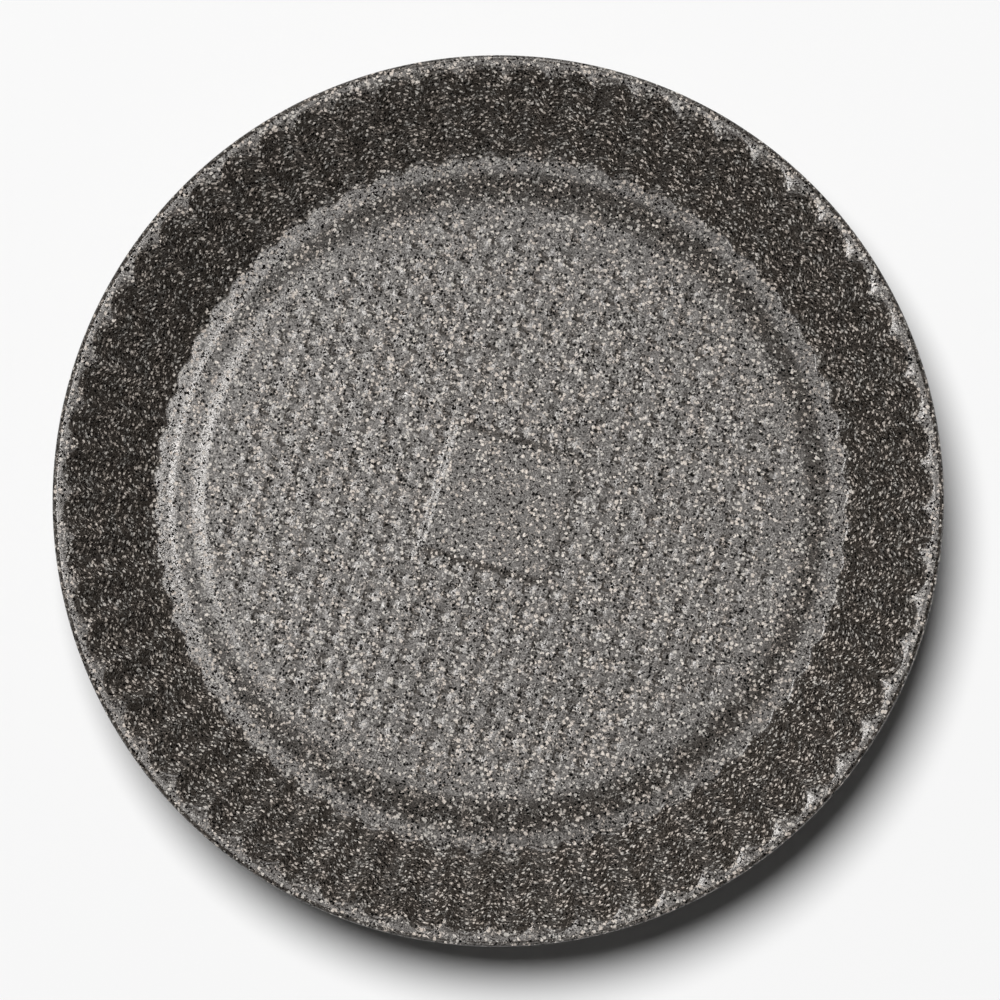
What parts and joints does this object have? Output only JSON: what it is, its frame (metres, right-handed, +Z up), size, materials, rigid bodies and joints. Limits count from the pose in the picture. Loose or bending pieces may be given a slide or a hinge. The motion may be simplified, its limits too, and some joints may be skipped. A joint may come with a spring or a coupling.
{
  "type": "fluted tart pan",
  "caption": "Round fluted tart pan drawn from stone-speckled non-stick sheet steel, with a raised base, a flared fluted wall and a rolled, wired rim.",
  "frame": {"origin": "centre of the plane that the pan stands on, under the middle of the base", "axes": "+Z up along the pan's axis; +X through the middle of a flute's scoop and along the rows of the base's embossing; +Y completes the right-handed frame"},
  "size_m": [0.3, 0.3, 0.036],
  "materials": {
    "stone_coat": "dark grey semi-gloss non-stick coat with cream and black stone-effect specks",
    "wire_steel": "plain drawn steel wire"
  },
  "bodies": {
    "root": {"pressed_shell": "stone_coat", "rim_wire": "wire_steel"}
  },
  "joints": []
}
